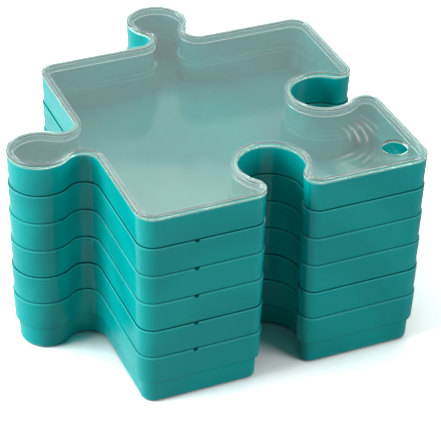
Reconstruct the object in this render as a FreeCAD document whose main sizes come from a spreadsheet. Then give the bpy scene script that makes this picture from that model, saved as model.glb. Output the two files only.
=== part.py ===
import FreeCAD, Part
import Sketcher
import math
import os

# A stack of jigsaw-shaped sorting trays that nest in each other, under one clear lid.
# Lengths are in millimetres and the draft is in degrees.
SIZES = {
    "body_side": (200.0, "side of the square body at a tray's rim"),
    "corner_radius": (12.0, "outer corners of the body"),
    "nub_reach": (31.4, "from the body's side to the centre of a nub's or a socket's head"),
    "nub_radius": (21.4, "round head of a nub"),
    "neck_radius": (10.4, "hollow on either side of a nub's neck"),
    "socket_clearance": (0.3, "gap round another stack's nub in a socket"),
    "tray_pitch": (21.4, "rise from one tray to the next, the height of the wall in view"),
    "foot_height": (18.2, "stepped-in foot that nests in the tray below"),
    "wall": (2.0, "side walls, and the step between wall and foot"),
    "floor_thickness": (2.2, "floor of a tray"),
    "draft": (2.5, "slope of the walls"),
    "nest_clearance": (1.0, "gap between a foot and the wall that it nests in"),
    "base_radius": (3.5, "rounding round the base"),
    "rim_bevel": (0.3, "bevel of a rim's outer and inner edge"),
    "step_bevel": (0.4, "bevel of the lower edge of the wall in view"),
    "notch_radius": (1.8, "half-round vent in the front of a rim"),
    "notch_inset": (37.0, "from the body's left side to the vent"),
    "lid_gap": (0.1, "hairline gap between the top rim and the lid"),
    "lid_thickness": (2.4, "lid's plate"),
    "lid_edge_radius": (0.9, "rounding round the top of the lid"),
    "skirt_clearance": (0.5, "gap between the lid's skirt and a tray's wall"),
    "skirt_wall": (1.8, "lid's skirt"),
    "skirt_depth": (4.6, "skirt's reach under the plate"),
    "hole_radius": (8.4, "finger hole in the lid"),
    "hole_inset": (18.8, "from the body's front and right sides to the finger hole"),
    "hole_edge_radius": (0.6, "rounding of the finger hole's edges"),
}
TRAY_COUNT = 6
LEVEL_TOLERANCE = 0.001  # how near to a level an edge at that level lies

doc = FreeCAD.newDocument("JigsawTrays")
sheet = doc.addObject("Spreadsheet::Sheet", "Sizes")
for row, (name, (value, note)) in enumerate(SIZES.items(), start=1):
    sheet.set(f"A{row}", name)
    sheet.set(f"B{row}", str(value))
    sheet.set(f"C{row}", note)
    sheet.setAlias(f"B{row}", name)
doc.recompute()

# The origin is under the middle of the outline's box. One nub stands out to the left and one to
# the back, so the square body's own middle lies half a nub to the right and to the front.
HALF_NUB = "(Sizes.nub_reach + Sizes.nub_radius) / 2"
HALF_BODY = "Sizes.body_side / 2"
MIDDLE = {"X": HALF_NUB, "Y": f"-{HALF_NUB}"}

# The outline's sides, anticlockwise: heading, axis and sign of the way out of the body, and
# 1 where the side carries a nub or -1 where it carries a socket.
SIDES = (
    ("front", 0, "Y", -1, -1),
    ("right", 90, "X", 1, -1),
    ("back", 180, "Y", 1, 1),
    ("left", 270, "X", -1, 1),
)

# Levels above a tray's own base, and how far each part of it stands in from its rim's outline.
RIM_LEVEL = "(Sizes.foot_height + Sizes.tray_pitch)"
STEP_LEVEL = "Sizes.foot_height"
LEDGE_LEVEL = "(Sizes.foot_height + Sizes.wall)"
FOOT_INSET = "(Sizes.wall + Sizes.nest_clearance)"
FOOT_HOLLOW_INSET = f"({FOOT_INSET} + Sizes.wall - Sizes.wall * tan(Sizes.draft * 1 deg))"

# The lid's levels are above the rim that it lies on.
SKIRT_INSET = "(Sizes.wall + Sizes.skirt_clearance)"
SKIRT_HOLLOW_INSET = f"({SKIRT_INSET} + Sizes.skirt_wall)"


def number(expression):
    """The value that an expression over the sheet comes to."""
    return float(sheet.evalExpression(expression.replace("Sizes.", "")))


def sketch_on(body, name, role, level):
    """An empty sketch on one of the body's own planes, moved along the plane's normal."""
    sketch = body.newObject("Sketcher::SketchObject", name)
    plane = [item for item in body.Origin.OriginFeatures if item.Role == role][0]
    sketch.AttachmentSupport = [(plane, "")]
    sketch.MapMode = "FlatFace"
    sketch.setExpression("AttachmentOffset.Base.z", level)
    return sketch


def dimension(sketch, name, expression, kind, *places):
    """A driving dimension of a sketch, bound to the sheet."""
    sketch.addConstraint(Sketcher.Constraint(kind, *places, number(expression)))
    sketch.renameConstraint(sketch.ConstraintCount - 1, name)
    sketch.setExpression(f"Constraints.{name}", expression)


def draw_side(sketch, inset, heading, bulge):
    """Draws one side and the corner after it, as a list of (geometry, start point, end point)."""
    along = FreeCAD.Rotation(FreeCAD.Vector(0, 0, 1), heading)
    middle = FreeCAD.Vector(number(MIDDLE["X"]), number(MIDDLE["Y"]), 0)
    half = number(HALF_BODY)
    set_in = number(inset)
    gap = number("Sizes.socket_clearance") if bulge < 0 else 0
    head = number("Sizes.nub_radius") + gap
    neck = number("Sizes.neck_radius") - gap
    reach = number("Sizes.nub_reach")
    corner = half - number("Sizes.corner_radius")
    spread = math.sqrt((head + neck) ** 2 - (reach - neck) ** 2)
    tilt = math.degrees(math.asin((reach - neck) / (head + neck)))

    def place(forward, outward):
        return middle + along.multVec(FreeCAD.Vector(forward, -outward, 0))

    def line(start, end):
        edge = half - set_in
        segment = Part.LineSegment(place(start, edge), place(end, edge))
        return sketch.addGeometry(segment, False), 1, 2

    def arc(centre, radius, start, end):
        circle = Part.Circle(centre, FreeCAD.Vector(0, 0, 1), radius)
        low, high = math.radians(min(start, end)), math.radians(max(start, end))
        index = sketch.addGeometry(Part.ArcOfCircle(circle, low, high), False)
        return (index, 1, 2) if end > start else (index, 2, 1)

    def bend(forward, outward, radius, start, end):
        centre = place(forward, outward)
        return arc(centre, radius, heading - bulge * start, heading - bulge * end)

    return [
        line(-corner, -spread),
        bend(-spread, half + bulge * neck, neck + bulge * set_in, -90, tilt),
        bend(0, half + bulge * reach, head - bulge * set_in, 180 + tilt, -tilt),
        bend(spread, half + bulge * neck, neck + bulge * set_in, 180 - tilt, 270),
        line(spread, corner),
        arc(place(corner, corner), half - corner - set_in, heading - 90, heading),
    ]


def outline(body, name, level, inset):
    """The jigsaw outline at a level, all its walls set in alike, dimensioned from the sheet."""
    sketch = sketch_on(body, name, "XY_Plane", level)
    chain = []
    first = {}

    def radius(kind, geometry, expression):
        if kind in first:
            sketch.addConstraint(Sketcher.Constraint("Equal", first[kind], geometry))
        else:
            first[kind] = geometry
            dimension(sketch, kind, expression, "Radius", geometry)

    for side, heading, axis, out, bulge in SIDES:
        pieces = draw_side(sketch, inset, heading, bulge)
        before, entry, head, leave, after, corner = (piece[0] for piece in pieces)
        chain += pieces
        cross, straight = ("X", "Horizontal") if axis == "Y" else ("Y", "Vertical")
        sketch.addConstraint(Sketcher.Constraint(straight, before))
        sketch.addConstraint(Sketcher.Constraint(straight, after))
        sketch.addConstraint(Sketcher.Constraint(straight, before, 2, after, 1))
        edge = f"{MIDDLE[axis]} + {out} * ({HALF_BODY} - {inset})"
        dimension(sketch, f"{side}Edge", edge, f"Distance{axis}", -1, 1, before, 1)
        reach = f"{MIDDLE[axis]} + {out} * ({HALF_BODY} + {bulge} * Sizes.nub_reach)"
        dimension(sketch, f"{side}Reach", reach, f"Distance{axis}", -1, 1, head, 3)
        dimension(sketch, f"{side}Middle", MIDDLE[cross], f"Distance{cross}", -1, 1, head, 3)
        kind, gap = ("nub", "0") if bulge > 0 else ("socket", "Sizes.socket_clearance")
        radius(f"{kind}Head", head, f"Sizes.nub_radius + {gap} - {bulge} * {inset}")
        for hollow in (entry, leave):
            radius(f"{kind}Neck", hollow, f"Sizes.neck_radius - {gap} + {bulge} * {inset}")
        radius("corner", corner, f"Sizes.corner_radius - {inset}")

    for (geometry, _, end), (following, start, _) in zip(chain, chain[1:] + chain[:1]):
        sketch.addConstraint(Sketcher.Constraint("Tangent", geometry, end, following, start))
    return sketch


def circle(body, name, role, level, across, upward, radius):
    """A circle on one of the body's planes, dimensioned from the sheet."""
    sketch = sketch_on(body, name, role, level)
    centre = FreeCAD.Vector(number(across), number(upward), 0)
    ring = Part.Circle(centre, FreeCAD.Vector(0, 0, 1), number(radius))
    geometry = sketch.addGeometry(ring, False)
    dimension(sketch, "across", across, "DistanceX", -1, 1, geometry, 3)
    dimension(sketch, "upward", upward, "DistanceY", -1, 1, geometry, 3)
    dimension(sketch, "radius", radius, "Radius", geometry)
    return sketch


def finish(feature, adds=None):
    """Recomputes a feature and sees that it added or removed material as it should."""
    base = feature.BaseFeature
    doc.recompute()
    change = feature.Shape.Volume - (base.Shape.Volume if base else 0)
    if change == 0 or (adds is not None and adds != (change > 0)):
        raise RuntimeError(f"{feature.Name} changed the volume by {change}")
    return feature


def swept(body, kind, name, sketch, depth, slope="0"):
    """A Pad up or a Pocket down from its sketch. A slope leans its walls out on the way."""
    feature = body.newObject(f"PartDesign::{kind}", name)
    feature.Profile = sketch
    feature.setExpression("Length", depth)
    feature.setExpression("TaperAngle", f"{slope} * 1 deg")
    return feature


def pad_down(body, name, sketch, depth):
    feature = swept(body, "Pad", name, sketch, depth, "-Sizes.draft")
    feature.Reversed = True
    return finish(feature, adds=True)


def pocket_down(body, name, sketch, depth, slope="-Sizes.draft"):
    return finish(swept(body, "Pocket", name, sketch, depth, slope), adds=False)


def ease_edges(body, name, base, level, size, kind="Fillet", pick=max):
    """Rounds or bevels a closed run of edges at a level: the longest, or with min the shortest."""
    height = number(level)
    edges = {}
    for index, edge in enumerate(base.Shape.Edges, start=1):
        box = edge.BoundBox
        if max(abs(box.ZMin - height), abs(box.ZMax - height)) < LEVEL_TOLERANCE:
            edges[f"Edge{index}"] = edge
    runs = Part.sortEdges(list(edges.values()))
    run = pick(runs, key=lambda one: sum(edge.Length for edge in one))
    names = [name for name, edge in edges.items() if any(edge.isSame(other) for other in run)]
    feature = body.newObject(f"PartDesign::{kind}", name)
    feature.Base = (base, names)
    feature.setExpression("Radius" if kind == "Fillet" else "Size", size)
    return finish(feature)


def new_body(name, level):
    body = doc.addObject("PartDesign::Body", name)
    body.Label = name
    body.setExpression("Placement.Base.z", level)
    return body


def tray(index):
    """One tray: a drafted wall, a stepped-in foot, the same shape hollowed out, and a vent."""
    body = new_body(f"tray_{index + 1}", f"{index} * Sizes.tray_pitch")
    rim = outline(body, "RimOutline", RIM_LEVEL, "0")
    pad_down(body, "Wall", rim, "Sizes.tray_pitch")
    foot = outline(body, "FootOutline", STEP_LEVEL, FOOT_INSET)
    solid = pad_down(body, "Foot", foot, "Sizes.foot_height")
    solid = ease_edges(body, "BaseEdge", solid, "0", "Sizes.base_radius")
    solid = ease_edges(body, "StepEdge", solid, STEP_LEVEL, "Sizes.step_bevel", "Chamfer")
    ease_edges(body, "RimOuterEdge", solid, RIM_LEVEL, "Sizes.rim_bevel", "Chamfer")
    upper = outline(body, "HollowOutline", RIM_LEVEL, "Sizes.wall")
    solid = pocket_down(body, "Hollow", upper, "Sizes.tray_pitch - Sizes.wall")
    ease_edges(body, "RimInnerEdge", solid, RIM_LEVEL, "Sizes.rim_bevel", "Chamfer", min)
    lower = outline(body, "FootHollowOutline", LEDGE_LEVEL, FOOT_HOLLOW_INSET)
    depth = f"{LEDGE_LEVEL} - Sizes.floor_thickness"
    pocket_down(body, "FootHollow", lower, depth)
    front = f"{HALF_BODY} - {MIDDLE['Y']}"
    across = f"{MIDDLE['X']} - {HALF_BODY} + Sizes.notch_inset"
    vent = circle(body, "VentCircle", "XZ_Plane", front, across, RIM_LEVEL, "Sizes.notch_radius")
    pocket_down(body, "Vent", vent, "2 * Sizes.wall", slope="0")
    return body


def lid():
    """The lid: a flat plate, a skirt that drops inside the top tray's rim, and a finger hole."""
    body = new_body("lid", f"{RIM_LEVEL} + {TRAY_COUNT - 1} * Sizes.tray_pitch + Sizes.lid_gap")
    plate = outline(body, "PlateOutline", "0", "0")
    solid = finish(swept(body, "Pad", "Plate", plate, "Sizes.lid_thickness"), adds=True)
    top = "Sizes.lid_thickness"
    ease_edges(body, "TopEdge", solid, top, "Sizes.lid_edge_radius")
    skirt = outline(body, "SkirtOutline", "0", SKIRT_INSET)
    pad_down(body, "Skirt", skirt, "Sizes.skirt_depth")
    hollow = outline(body, "SkirtHollowOutline", "0", SKIRT_HOLLOW_INSET)
    pocket_down(body, "SkirtHollow", hollow, "Sizes.skirt_depth", slope="Sizes.draft")
    across = f"{MIDDLE['X']} + {HALF_BODY} - Sizes.hole_inset"
    upward = f"{MIDDLE['Y']} - {HALF_BODY} + Sizes.hole_inset"
    ring = circle(body, "HoleCircle", "XY_Plane", top, across, upward, "Sizes.hole_radius")
    solid = pocket_down(body, "FingerHole", ring, "Sizes.lid_thickness", slope="0")
    for name, level in (("HoleTopEdge", top), ("HoleBottomEdge", "0")):
        solid = ease_edges(body, name, solid, level, "Sizes.hole_edge_radius", pick=min)
    return body


parts = [tray(index) for index in range(TRAY_COUNT)] + [lid()]
doc.recompute()

for item in doc.Objects:
    if {"Invalid", "Error"} & set(item.State):
        raise RuntimeError(f"{item.Label} failed to build: {item.State}")
for item in parts:
    if item.Shape.isNull() or not item.Shape.isValid() or len(item.Shape.Solids) != 1:
        raise RuntimeError(f"{item.Label} isn't one valid solid")

os.makedirs("parts", exist_ok=True)
for item in parts:
    item.Shape.exportStep(f"parts/{item.Label}.step")
    print(item.Label, round(item.Shape.Volume), item.Shape.BoundBox)
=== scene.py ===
import bpy
from math import radians
from mathutils import Euler, Matrix, Vector


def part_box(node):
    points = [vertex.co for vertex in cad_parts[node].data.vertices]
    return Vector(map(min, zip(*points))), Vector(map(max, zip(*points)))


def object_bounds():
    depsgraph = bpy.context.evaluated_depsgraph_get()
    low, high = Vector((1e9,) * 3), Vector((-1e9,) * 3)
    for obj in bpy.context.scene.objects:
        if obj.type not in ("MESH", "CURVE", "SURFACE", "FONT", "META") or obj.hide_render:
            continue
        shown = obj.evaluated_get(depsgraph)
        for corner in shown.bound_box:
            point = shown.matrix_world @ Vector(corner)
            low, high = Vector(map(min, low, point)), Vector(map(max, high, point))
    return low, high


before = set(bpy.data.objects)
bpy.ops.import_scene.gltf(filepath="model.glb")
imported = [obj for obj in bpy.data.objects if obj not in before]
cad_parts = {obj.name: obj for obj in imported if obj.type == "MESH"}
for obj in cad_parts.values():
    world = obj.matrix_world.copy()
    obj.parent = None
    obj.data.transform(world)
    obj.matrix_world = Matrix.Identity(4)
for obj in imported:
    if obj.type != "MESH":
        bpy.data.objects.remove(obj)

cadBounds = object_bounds()
trays = [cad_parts[name] for name in sorted(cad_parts) if name.startswith("tray_")]
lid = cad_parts["lid"]
print("frame loaded:", len(trays), "trays and a lid")


# These add shader nodes and link them. A value is a number, a colour or another node's socket.

def setSocket(tree, socket, value):
    if isinstance(value, bpy.types.NodeSocket):
        tree.links.new(value, socket)
    else:
        socket.default_value = value


def addNode(tree, kind, inputs=(), **settings):
    node = tree.nodes.new("ShaderNode" + kind)
    for name, value in settings.items():
        setattr(node, name, value)
    for name, value in dict(inputs).items():
        setSocket(tree, node.inputs[name], value)
    return node


def addMath(tree, operation, first, second=0.0):
    return addNode(tree, "Math", {0: first, 1: second}, operation=operation).outputs[0]


def addVectorMath(tree, operation, first, second=(0.0, 0.0, 0.0)):
    return addNode(tree, "VectorMath", {0: first, 1: second}, operation=operation).outputs


def splitAxes(tree, vector):
    return addNode(tree, "SeparateXYZ", {0: vector}).outputs


def addLength(tree, x, y):
    place = addNode(tree, "CombineXYZ", {"X": x, "Y": y}).outputs[0]
    return addVectorMath(tree, "LENGTH", place)["Value"]


def addRamp(tree, value, low, high, start=0.0, end=1.0):
    ends = {"Value": value, "From Min": low, "From Max": high, "To Min": start, "To Max": end}
    return addNode(tree, "MapRange", ends, interpolation_type="SMOOTHSTEP").outputs[0]


def addNoise(tree, place, scale, detail, roughness=0.5, distortion=0.0):
    inputs = {
        "Vector": place, "Scale": scale, "Detail": detail,
        "Roughness": roughness, "Distortion": distortion}
    return addNode(tree, "TexNoise", inputs).outputs["Fac"]


def mixColours(tree, amount, first, second):
    # a Mix node's colours are its inputs 6 and 7 and its output 2
    return addNode(tree, "Mix", {0: amount, 6: first, 7: second}, data_type="RGBA").outputs[2]


def findRays(tree):
    rays = addNode(tree, "LightPath").outputs
    direct = addMath(tree, "MAXIMUM", rays["Is Camera Ray"], rays["Is Transmission Ray"])
    return direct, rays["Is Glossy Ray"]


def startGroup(name, inputs, outputs):
    group = bpy.data.node_groups.new(name, "ShaderNodeTree")
    for label, kind in inputs.items():
        group.interface.new_socket(name=label, in_out="INPUT", socket_type="NodeSocket" + kind)
    for label, kind in outputs.items():
        group.interface.new_socket(name=label, in_out="OUTPUT", socket_type="NodeSocket" + kind)
    given = group.nodes.new("NodeGroupInput").outputs
    wanted = group.nodes.new("NodeGroupOutput").inputs
    return group, given, wanted


def placeGroup(tree, group, inputs):
    node = tree.nodes.new("ShaderNodeGroup")
    node.node_tree = group
    for name, value in inputs.items():
        setSocket(tree, node.inputs[name], value)
    return node.outputs


def newMaterial(name):
    material = bpy.data.materials.new(name)
    material.use_nodes = True
    tree = material.node_tree
    tree.nodes.clear()
    return material, tree, tree.nodes.new("ShaderNodeOutputMaterial").inputs["Surface"]


# Edges that the mould left slightly round: a softened normal, and a mask along them for wear

roundEdge = {
    "samples": 8,
    "likeness": (0.99, 0.8),  # of the softened normal to the flat one, at no wear and at full wear
}


def makeRoundedEdges(look):
    group, given, wanted = startGroup(
        "rounded edges", {"Radius": "Float"}, {"Edge": "Float", "Normal": "Vector"})
    bevel = addNode(group, "Bevel", {"Radius": given["Radius"]}, samples=look["samples"])
    soft = bevel.outputs[0]
    flat = addNode(group, "NewGeometry").outputs["Normal"]
    likeness = addVectorMath(group, "DOT_PRODUCT", soft, flat)["Value"]
    setSocket(group, wanted["Edge"], addRamp(group, likeness, *look["likeness"]))
    setSocket(group, wanted["Normal"], soft)
    return group


# Marks of handling: greasy patches, and hairline scratches that follow the thin contours of a noise

handling = {
    "patch": {"scale": 0.6, "detail": 5.0, "roughness": 0.6, "range": (0.4, 0.7)},
    "hairline": {"detail": 1.0, "distortion": 1.5, "contour": 0.5, "width": 0.004},
    "break": {"scale": 2.2, "detail": 1.0, "range": (0.52, 0.62)},
}


def makeHandlingMarks(look):
    group, given, wanted = startGroup(
        "handling marks", {"Vector": "Vector", "Scale": "Float"},
        {"Smudges": "Float", "Scratches": "Float"})
    place = given["Vector"]

    patch = look["patch"]
    scale = addMath(group, "MULTIPLY", given["Scale"], patch["scale"])
    patches = addNoise(group, place, scale, patch["detail"], patch["roughness"])
    setSocket(group, wanted["Smudges"], addRamp(group, patches, *patch["range"]))

    line = look["hairline"]
    lines = addNoise(
        group, place, given["Scale"], line["detail"], distortion=line["distortion"])
    off = addMath(group, "ABSOLUTE", addMath(group, "SUBTRACT", lines, line["contour"]))
    hairline = addRamp(group, off, line["width"], 0.0)

    gap = look["break"]
    scale = addMath(group, "MULTIPLY", given["Scale"], gap["scale"])
    unbroken = addRamp(group, addNoise(group, place, scale, gap["detail"]), *gap["range"])
    setSocket(group, wanted["Scratches"], addMath(group, "MULTIPLY", hairline, unbroken))
    return group


# Flow of the plastic in its mould: faint rings, bent out of round, about the gate where it came in

mouldRings = {"distortion": 5.0, "detail": 2.0, "detailScale": 0.6}


def makeMouldFlow(look):
    group, given, wanted = startGroup(
        "mould flow", {"Vector": "Vector", "Gate": "Vector", "Rings": "Float"}, {"Flow": "Float"})
    rings = addNode(group, "TexWave", {
        "Vector": addVectorMath(group, "SUBTRACT", given["Vector"], given["Gate"])["Vector"],
        "Scale": given["Rings"],
        "Distortion": look["distortion"],
        "Detail": look["detail"],
        "Detail Scale": look["detailScale"],
    }, wave_type="RINGS", rings_direction="SPHERICAL")
    setSocket(group, wanted["Flow"], rings.outputs["Fac"])
    return group


# How far in from the jigsaw outline a point lies. The outline is its own mirror image about a
# diagonal, so it is folded there, which leaves a nub on the left and a socket in front.

outline = {
    "halfSide": 0.1,
    "corner": 0.012,
    "reach": 0.0314,  # from the body's side to the middle of a nub's or socket's head
    "nub": {"head": 0.0214, "neck": 0.0104},
    "socket": {"head": 0.0217, "neck": 0.0101},
}


# A nub or a socket: a round head, and a neck between two hollow arcs that touch the head and the
# body's side. The neck ends at the line from an arc's middle to the head's.

def addTongue(tree, out, across, reach, head, neck):
    deep = reach - neck
    spread = ((head + neck) ** 2 - deep ** 2) ** 0.5
    steepness = 2 / (head + neck)  # twice a distance, so that the head takes over past the line
    fromHead = addLength(tree, addMath(tree, "SUBTRACT", out, reach), across)
    fromHead = addMath(tree, "SUBTRACT", fromHead, head)
    beside = addMath(tree, "SUBTRACT", across, spread)
    deeper = addMath(tree, "SUBTRACT", out, neck)
    fromArc = addMath(tree, "SUBTRACT", neck, addLength(tree, deeper, beside))
    pastDeep = addMath(tree, "MULTIPLY", deeper, steepness * spread)
    pastBeside = addMath(tree, "MULTIPLY", beside, steepness * deep)
    pastLine = addMath(tree, "ADD", pastDeep, pastBeside)
    fromNeck = addMath(tree, "MAXIMUM", addMath(tree, "MAXIMUM", beside, fromArc), pastLine)
    return addMath(tree, "MINIMUM", fromHead, fromNeck)


def makeInset(shape):
    group, given, wanted = startGroup(
        "inset from the outline", {"Vector": "Vector"}, {"Inset": "Float"})
    axes = splitAxes(group, given["Vector"])
    fold = addMath(group, "MAXIMUM", addMath(group, "ADD", axes["X"], axes["Y"]), 0.0)
    foldedX = addMath(group, "SUBTRACT", axes["X"], fold)
    foldedY = addMath(group, "SUBTRACT", axes["Y"], fold)

    # the nubs stand out on the left and behind, so the body ends at the box's right and front sides
    right = addMath(group, "SUBTRACT", foldedX, cadBounds[1].x - shape["halfSide"])
    back = addMath(group, "SUBTRACT", foldedY, cadBounds[0].y + shape["halfSide"])
    aside = addMath(group, "ABSOLUTE", right)
    deep = addMath(group, "ABSOLUTE", back)
    pastX = addMath(group, "SUBTRACT", aside, shape["halfSide"] - shape["corner"])
    pastY = addMath(group, "SUBTRACT", deep, shape["halfSide"] - shape["corner"])
    beyondX = addMath(group, "MAXIMUM", pastX, 0.0)
    beyondY = addMath(group, "MAXIMUM", pastY, 0.0)
    within = addMath(group, "MINIMUM", addMath(group, "MAXIMUM", pastX, pastY), 0.0)
    body = addMath(group, "ADD", addLength(group, beyondX, beyondY), within)
    body = addMath(group, "SUBTRACT", body, shape["corner"])

    leftward = addMath(group, "SUBTRACT", -shape["halfSide"], right)
    backward = addMath(group, "ADD", back, shape["halfSide"])
    nub = addTongue(group, leftward, deep, shape["reach"], **shape["nub"])
    socket = addTongue(group, backward, aside, shape["reach"], **shape["socket"])
    solid = addMath(group, "MULTIPLY", addMath(group, "MINIMUM", body, nub), -1.0)
    setSocket(group, wanted["Inset"], addMath(group, "MINIMUM", solid, socket))
    return group


roundedEdges = makeRoundedEdges(roundEdge)
handlingMarks = makeHandlingMarks(handling)
mouldFlow = makeMouldFlow(mouldRings)
insetFromOutline = makeInset(outline)
print("shader groups built")

# Teal tray plastic: glossy, a little uneven in tone, paler where edges rub, with a dark line of
# painted shade in the seam under each wall and a pale painted highlight along each rim and the top
# rim. What faces up is polished, so that the floors mirror the walls, and darkened a little by
# painted shade.

trayPlastic = {
    "colour": (0.0, 0.47, 0.465, 1.0),
    "deepColour": (0.0, 0.42, 0.415, 1.0),
    # the pale colour of rubbed edges and scratches, and of the painted highlight along each rim
    "wornAndRimHighlightColour": (0.12, 0.80, 0.78, 1.0),
    # painted shade: the colour of the dark seam lines and of the darkened faces that look up
    "paintedShadeColour": (0.0, 0.13, 0.13, 1.0),
    # painted highlight: a pale band along the top tray's rim
    "topRimHighlightColour": (0.30, 0.52, 0.49, 1.0),
    "toneScale": 14.0,
    "toneDetail": 3.0,
    "toneRange": (0.3, 0.7),
    "markScale": 24.0,
    "edgeRadius": 0.0006,
    "rubbedTone": (0.25, 0.75),
    "rubbedShare": (0.4, 0.8),
    "scratchShare": 0.08,
    "footHeight": 0.0182,
    "pitch": 0.0214,
    # the painted rim highlight: where it lies on each wall and how strong it is
    "rimHighlightBand": (0.93, 0.97),  # shares of the pitch above a wall's lower edge
    "rimHighlightShare": 0.35,
    # the painted seam shade: where it lies on each wall and how strong it is
    "seamShadeBand": (0.05, 0.025),
    "seamShadeShare": 0.7,
    "outerWall": (0.0022, 0.0018),  # seams are dark on outer walls alone, which lie less far in
    "topRimBand": (0.0006, 0.0002),  # under the top rim
    "levelFacing": (0.9, 0.99),
    # painted shade on faces that look up
    "levelShadeShare": 0.15,
    "levelCoat": 0.8,
    "coatRoughness": 0.05,
    "ior": 1.49,
    "gloss": 0.2,
    "roughness": (0.13, 0.24),  # clean and smudged
    "wornRoughness": 0.2,
    "flowRings": 9.0,
    "flowHeight": 0.00004,
}


def addWearAndRimHighlight(tree, look, edge, scratches, tone, upWall):
    rubbedShare = addRamp(tree, tone, *look["rubbedTone"], *look["rubbedShare"])
    rubbed = addMath(tree, "MULTIPLY", edge, rubbedShare)
    scratched = addMath(tree, "MULTIPLY", scratches, look["scratchShare"])
    paleMarks = addMath(tree, "MAXIMUM", rubbed, scratched)
    # the rim band is a painted highlight: a pale line along each rim under the wall above, not wear
    rimHighlight = addMath(tree, "MULTIPLY", addRamp(tree, upWall, *look["rimHighlightBand"]), look["rimHighlightShare"])
    return addMath(tree, "MAXIMUM", paleMarks, rimHighlight)


def makeTrayPlastic(look):
    material, tree, surface = newMaterial("teal tray plastic")
    coordinates = addNode(tree, "TexCoord").outputs
    place = coordinates["Object"]
    facing = splitAxes(tree, coordinates["Normal"])["Z"]
    edges = placeGroup(tree, roundedEdges, {"Radius": look["edgeRadius"]})
    marks = placeGroup(tree, handlingMarks, {"Vector": place, "Scale": look["markScale"]})
    flow = placeGroup(tree, mouldFlow, {"Vector": place, "Rings": look["flowRings"]})["Flow"]
    inset = placeGroup(tree, insetFromOutline, {"Vector": place})["Inset"]
    height = addMath(tree, "SUBTRACT", splitAxes(tree, place)["Z"], look["footHeight"])
    upWall = addMath(tree, "FRACT", addMath(tree, "DIVIDE", height, look["pitch"]))

    tone = addNoise(tree, place, look["toneScale"], look["toneDetail"])
    mottle = addMath(tree, "MULTIPLY", addMath(tree, "ADD", tone, flow), 0.5)
    mottle = addRamp(tree, mottle, *look["toneRange"])
    # pale marks: rubbed edges and scratches, which are wear, and the rim band, which is a painted
    # highlight
    paleMarks = addWearAndRimHighlight(tree, look, edges["Edge"], marks["Scratches"], tone, upWall)
    colour = mixColours(tree, mottle, look["deepColour"], look["colour"])
    colour = mixColours(tree, paleMarks, colour, look["wornAndRimHighlightColour"])

    # painted shade: a dark line at the foot of each outer wall, in the seam above the lower tray's
    # rim
    outerSeamShade = addRamp(tree, inset, *look["outerWall"], 0.0, look["seamShadeShare"])
    seamShade = addMath(tree, "MULTIPLY", addRamp(tree, upWall, *look["seamShadeBand"]), outerSeamShade)
    colour = mixColours(tree, seamShade, colour, look["paintedShadeColour"])
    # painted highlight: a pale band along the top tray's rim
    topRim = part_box("tray_6")[1].z - look["footHeight"]
    rimFrom, rimFull = look["topRimBand"]
    onTopRimHighlight = addRamp(tree, height, topRim - rimFrom, topRim - rimFull)
    colour = mixColours(tree, onTopRimHighlight, colour, look["topRimHighlightColour"])
    # painted shade: faces that look up are darkened a little towards the shade colour
    levelShade = addRamp(tree, facing, *look["levelFacing"], 0.0, look["levelShadeShare"])
    colour = mixColours(tree, levelShade, colour, look["paintedShadeColour"])

    rough = addRamp(tree, marks["Smudges"], 0.0, 1.0, *look["roughness"])
    rough = addMath(tree, "ADD", rough, addMath(tree, "MULTIPLY", paleMarks, look["wornRoughness"]))
    bump = addNode(tree, "Bump", {
        "Height": flow, "Distance": look["flowHeight"], "Normal": edges["Normal"]})
    plastic = addNode(tree, "BsdfPrincipled", {
        "Base Color": colour,
        "Roughness": rough,
        "IOR": look["ior"],
        "Specular IOR Level": look["gloss"],
        "Coat Weight": addRamp(tree, facing, *look["levelFacing"], 0.0, look["levelCoat"]),
        "Coat Roughness": look["coatRoughness"],
        "Normal": bump.outputs[0],
    })
    tree.links.new(plastic.outputs[0], surface)
    return material


# Clear lid plastic: natural, a little milky, with flow waves about the finger hole. Light that runs
# on inside a clear plate comes out at its sides, skirt and border: a weak glow there stands for it.

lidLow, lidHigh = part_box("lid")
plateThickness = 0.0024
plateBottom = lidHigh.z - plateThickness
holeInset = 0.0188  # of the finger hole's middle, alike from the body's front and right sides
fingerHole = (lidHigh.x - holeInset, lidLow.y + holeInset, lidHigh.z)
noGlow = (0.0, 0.0, 0.0, 1.0)

lidPlastic = {
    "colour": (0.86, 0.95, 0.93, 1.0),
    "milkiness": 0.02,
    "ior": 1.49,
    "edgeRadius": 0.0005,
    "markScale": 18.0,
    "roughness": (0.05, 0.12),  # clean and smudged
    "scratchRoughness": 0.15,
    "flowRings": 14.0,
    "flowHeight": 0.00004,
    "letsLight": 0.33,  # share of the lamps' light that goes straight through
    "shadowColour": (0.88, 0.97, 0.95, 1.0),
    "sideFacing": (0.95, 0.4),
    "skirtGlow": (0.055, 0.06, 0.06, 1.0),
    "lowGlow": (0.16, 0.36, 0.30, 1.0),  # the lower part of the plate's side
    "highGlow": (0.06, 0.07, 0.06, 1.0),
    "plateStart": 0.0001,  # under the plate
    "lowGlowHeight": 0.0013,
    "lowGlowFade": 0.0003,
    "borderGlow": (0.045, 0.055, 0.053, 1.0),
    "borderWidth": 0.0046,
    "borderFade": 0.0008,
    "edgeGlow": (0.22, 0.26, 0.25, 1.0),  # the skirt's edges
    "edgeGlowFull": 0.001,  # under the plate
    "backShare": 0.25,  # of the glow, on a side seen from within
    "glowStrength": 1.0,
}

# Pale arcs, a painted glow, where the plastic swirled between the sockets, on one side of a point,
# broken by a noise

lidSwirl = {
    "gate": (0.0674, -0.0820),
    "towards": (0.91, -0.41, 0.0),
    "rings": 57.0,
    "inner": 0.006,
    "outer": 0.034,
    "fade": 0.012,
    "breakScale": 45.0,
    "breakDetail": 1.0,
    "breakRange": (0.42, 0.58),
    "crest": (0.55, 1.0),
    "glow": (0.11, 0.10, 0.09, 1.0),
}


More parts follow.
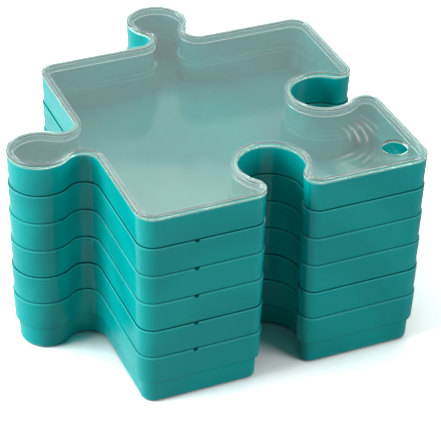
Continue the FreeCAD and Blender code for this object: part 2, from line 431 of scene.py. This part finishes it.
def addSwirl(tree, place, look):
    gate = (*look["gate"], lidHigh.z)
    flow = placeGroup(tree, mouldFlow, {"Vector": place, "Gate": gate, "Rings": look["rings"]})
    offset = addVectorMath(tree, "SUBTRACT", place, gate)["Vector"]
    along = addVectorMath(tree, "DOT_PRODUCT", offset, look["towards"])["Value"]
    away = addVectorMath(tree, "LENGTH", offset)["Value"]
    near = addRamp(tree, away, look["outer"] + look["fade"], look["outer"])
    ahead = addRamp(tree, along, look["inner"], look["inner"] + look["fade"])
    noise = addNoise(tree, place, look["breakScale"], look["breakDetail"])
    shown = addMath(tree, "MULTIPLY", near, ahead)
    shown = addMath(tree, "MULTIPLY", shown, addRamp(tree, noise, *look["breakRange"]))
    return addMath(tree, "MULTIPLY", shown, addRamp(tree, flow["Flow"], *look["crest"]))


def addLidGlow(tree, place, facing, edge, look, swirl):
    height = splitAxes(tree, place)["Z"]
    inset = placeGroup(tree, insetFromOutline, {"Vector": place})["Inset"]
    skirtTop = plateBottom - look["plateStart"]
    lowTop = plateBottom + look["lowGlowHeight"]
    onPlate = addRamp(tree, height, skirtTop, plateBottom)
    onTop = addRamp(tree, height, lowTop, lowTop + look["lowGlowFade"])
    onSkirt = addRamp(tree, height, skirtTop, plateBottom - look["edgeGlowFull"])
    onBorder = addRamp(tree, inset, look["borderWidth"], look["borderWidth"] - look["borderFade"])
    onSide = addRamp(tree, addMath(tree, "ABSOLUTE", facing), *look["sideFacing"])

    sideGlow = mixColours(tree, onPlate, look["skirtGlow"], look["lowGlow"])
    sideGlow = mixColours(tree, onTop, sideGlow, look["highGlow"])
    levelGlow = mixColours(tree, onBorder, noGlow, look["borderGlow"])
    glow = mixColours(tree, onSide, levelGlow, sideGlow)
    glow = mixColours(tree, addMath(tree, "MULTIPLY", edge, onSkirt), glow, look["edgeGlow"])

    behind = addNode(tree, "NewGeometry").outputs["Backfacing"]
    glowShare = addRamp(tree, behind, 0.0, 1.0, 1.0, look["backShare"])
    glow = mixColours(tree, glowShare, noGlow, glow)
    onLevel = addRamp(tree, onSide, 1.0, 0.0)
    swirled = addMath(tree, "MULTIPLY", addSwirl(tree, place, swirl), onLevel)
    return mixColours(tree, swirled, glow, swirl["glow"])


def makeLidPlastic(look, swirl):
    material, tree, surface = newMaterial("clear lid plastic")
    coordinates = addNode(tree, "TexCoord").outputs
    place = coordinates["Object"]
    facing = splitAxes(tree, coordinates["Normal"])["Z"]
    edges = placeGroup(tree, roundedEdges, {"Radius": look["edgeRadius"]})
    marks = placeGroup(tree, handlingMarks, {"Vector": place, "Scale": look["markScale"]})
    flow = placeGroup(tree, mouldFlow, {
        "Vector": place, "Gate": fingerHole, "Rings": look["flowRings"]})
    glow = addLidGlow(tree, place, facing, edges["Edge"], look, swirl)

    rough = addRamp(tree, marks["Smudges"], 0.0, 1.0, *look["roughness"])
    scratched = addMath(tree, "MULTIPLY", marks["Scratches"], look["scratchRoughness"])
    bump = addNode(tree, "Bump", {
        "Height": flow["Flow"], "Distance": look["flowHeight"], "Normal": edges["Normal"]})
    plastic = addNode(tree, "BsdfPrincipled", {
        "Base Color": look["colour"],
        "Roughness": addMath(tree, "ADD", rough, scratched),
        "IOR": look["ior"],
        "Transmission Weight": 1 - look["milkiness"],
        "Normal": bump.outputs[0],
        "Emission Color": glow,
        "Emission Strength": look["glowStrength"],
    })

    # a part of the lamps' light goes straight through the lid to the tray
    clear = addNode(tree, "BsdfTransparent", {"Color": look["shadowColour"]})
    shadow = addNode(tree, "LightPath").outputs["Is Shadow Ray"]
    passed = addMath(tree, "MULTIPLY", shadow, look["letsLight"])
    both = addNode(tree, "MixShader", {0: passed, 1: plastic.outputs[0], 2: clear.outputs[0]})
    tree.links.new(both.outputs[0], surface)
    return material


def dress(piece, material):
    for slot in piece.material_slots:
        slot.material = material


trayMaterial = makeTrayPlastic(trayPlastic)
for tray in trays:
    dress(tray, trayMaterial)
dress(lid, makeLidPlastic(lidPlastic, lidSwirl))
print("trays and lid dressed")

# Pale floor: it throws a plain light on the object, shows white to the camera and through the lid,
# and keeps the object's shadow, with painted shade deeper where the object stands

floor = {
    "side": 8.0,
    "drop": 0.0002,  # under the lowest tray, so that they don't share a face
    "colour": (0.5, 0.5, 0.5, 1.0),
    "colourReflected": (1.2, 1.2, 1.2, 1.0),
    "colourSeen": (4.5, 4.3, 4.3, 1.0),
    # painted shade where the floor lies near the object
    "paintedCornerShade": (0.5, 0.3, 0.3, 1.0),
    "cornerReach": 0.08,
    "cornerSamples": 8,
    "colourFar": (30.0, 30.0, 30.0, 1.0),
    "farRange": (0.35, 1.6),
}


def makeFloor(look):
    bpy.ops.object.select_all(action="DESELECT")
    bpy.ops.mesh.primitive_plane_add(size=look["side"], location=(0, 0, -look["drop"]))
    plane = bpy.context.object
    plane.name = "floor"
    bpy.ops.object.transform_apply(location=True)

    material, tree, surface = newMaterial("pale floor")
    direct, glossy = findRays(tree)
    # painted shade: ambient occlusion darkens the floor near the object
    cornerShade = addNode(
        tree, "AmbientOcclusion", {"Distance": look["cornerReach"]}, samples=look["cornerSamples"])
    seen = mixColours(tree, cornerShade.outputs["AO"], look["paintedCornerShade"], look["colourSeen"])
    place = splitAxes(tree, addNode(tree, "TexCoord").outputs["Object"])
    far = addRamp(tree, addLength(tree, place["X"], place["Y"]), *look["farRange"])
    seen = mixColours(tree, far, seen, look["colourFar"])
    colour = mixColours(tree, glossy, look["colour"], look["colourReflected"])
    colour = mixColours(tree, direct, colour, seen)
    paper = addNode(tree, "BsdfDiffuse", {"Color": colour})
    tree.links.new(paper.outputs[0], surface)
    plane.data.materials.append(material)


makeFloor(floor)

# Room: nearly dark as a light, and white to the camera, through the lid and in reflections

room = {"colour": (1.0, 1.0, 1.0, 1.0), "strength": 0.03, "seen": 1.0}


def makeRoom(look):
    world = bpy.data.worlds.new("room")
    bpy.context.scene.world = world
    world.use_nodes = True
    tree = world.node_tree
    tree.nodes.clear()
    shown = addMath(tree, "MAXIMUM", *findRays(tree))
    strength = addRamp(tree, shown, 0.0, 1.0, look["strength"], look["seen"])
    light = addNode(tree, "Background", {"Color": look["colour"], "Strength": strength})
    addNode(tree, "OutputWorld", {"Surface": light.outputs[0]})


makeRoom(room)

# Studio light: large soft lamps on the left, behind and in front, and a weak warm panel behind. The
# panel alone is mirrored, as a pale patch on the lid. The front lamp isn't seen through the lid.

white = (1.0, 1.0, 1.0)
warm = (1.0, 0.93, 0.82)
lamps = {
    "left": {
        "place": (-1.7, 0.2, 0.7), "size": (1.2, 1.2), "power": 37.0, "colour": white,
        "mirrored": False, "seenThrough": True,
    },
    "back": {
        "place": (-1.2, 1.2, 1.0), "size": (1.2, 1.2), "power": 13.5, "colour": white,
        "mirrored": False, "seenThrough": True,
    },
    "front": {
        "place": (1.2, -1.6, 0.9), "size": (1.0, 1.0), "power": 17.5, "colour": white,
        "mirrored": False, "seenThrough": False,
    },
    "panel": {
        "place": (0.43, 1.02, 1.24), "size": (1.3, 0.54), "power": 2.4, "colour": warm,
        "mirrored": True, "seenThrough": True,
    },
}
middle = (cadBounds[0] + cadBounds[1]) / 2

for name, lamp in lamps.items():
    aim = Vector(lamp["place"]) - middle
    rotation = aim.to_track_quat("Z", "Y").to_euler()
    bpy.ops.object.light_add(type="AREA", location=lamp["place"], rotation=rotation)
    light = bpy.context.object
    light.name = name + "_lamp"
    light.data.shape = "RECTANGLE"
    light.data.size, light.data.size_y = lamp["size"]
    light.data.energy = lamp["power"]
    light.data.color = lamp["colour"]
    light.visible_glossy = lamp["mirrored"]
    light.visible_transmission = lamp["seenThrough"]

# Camera: where it stands round the point that it looks at, in degrees and metres

camera = {
    "azimuth": -23.75,
    "elevation": 34.54,
    "roll": 1.41,
    "distance": 1.2825,
    "target": (0.02005, -0.03131, 0.06974),
    "lens": 153.77,
    "sensor": 36.0,
}
turn = Euler((radians(90 - camera["elevation"]), 0, radians(camera["azimuth"]))).to_matrix()
stand = Vector(camera["target"]) + turn @ Vector((0, 0, camera["distance"]))
lean = (turn @ Matrix.Rotation(radians(camera["roll"]), 3, "Z")).to_euler()
bpy.ops.object.camera_add(location=stand, rotation=lean)
view = bpy.context.object
view.data.lens = camera["lens"]
view.data.sensor_width = camera["sensor"]
view.data.sensor_fit = "HORIZONTAL"
bpy.context.scene.camera = view
bpy.context.scene.view_settings.view_transform = "Standard"
print("floor, light and camera set")
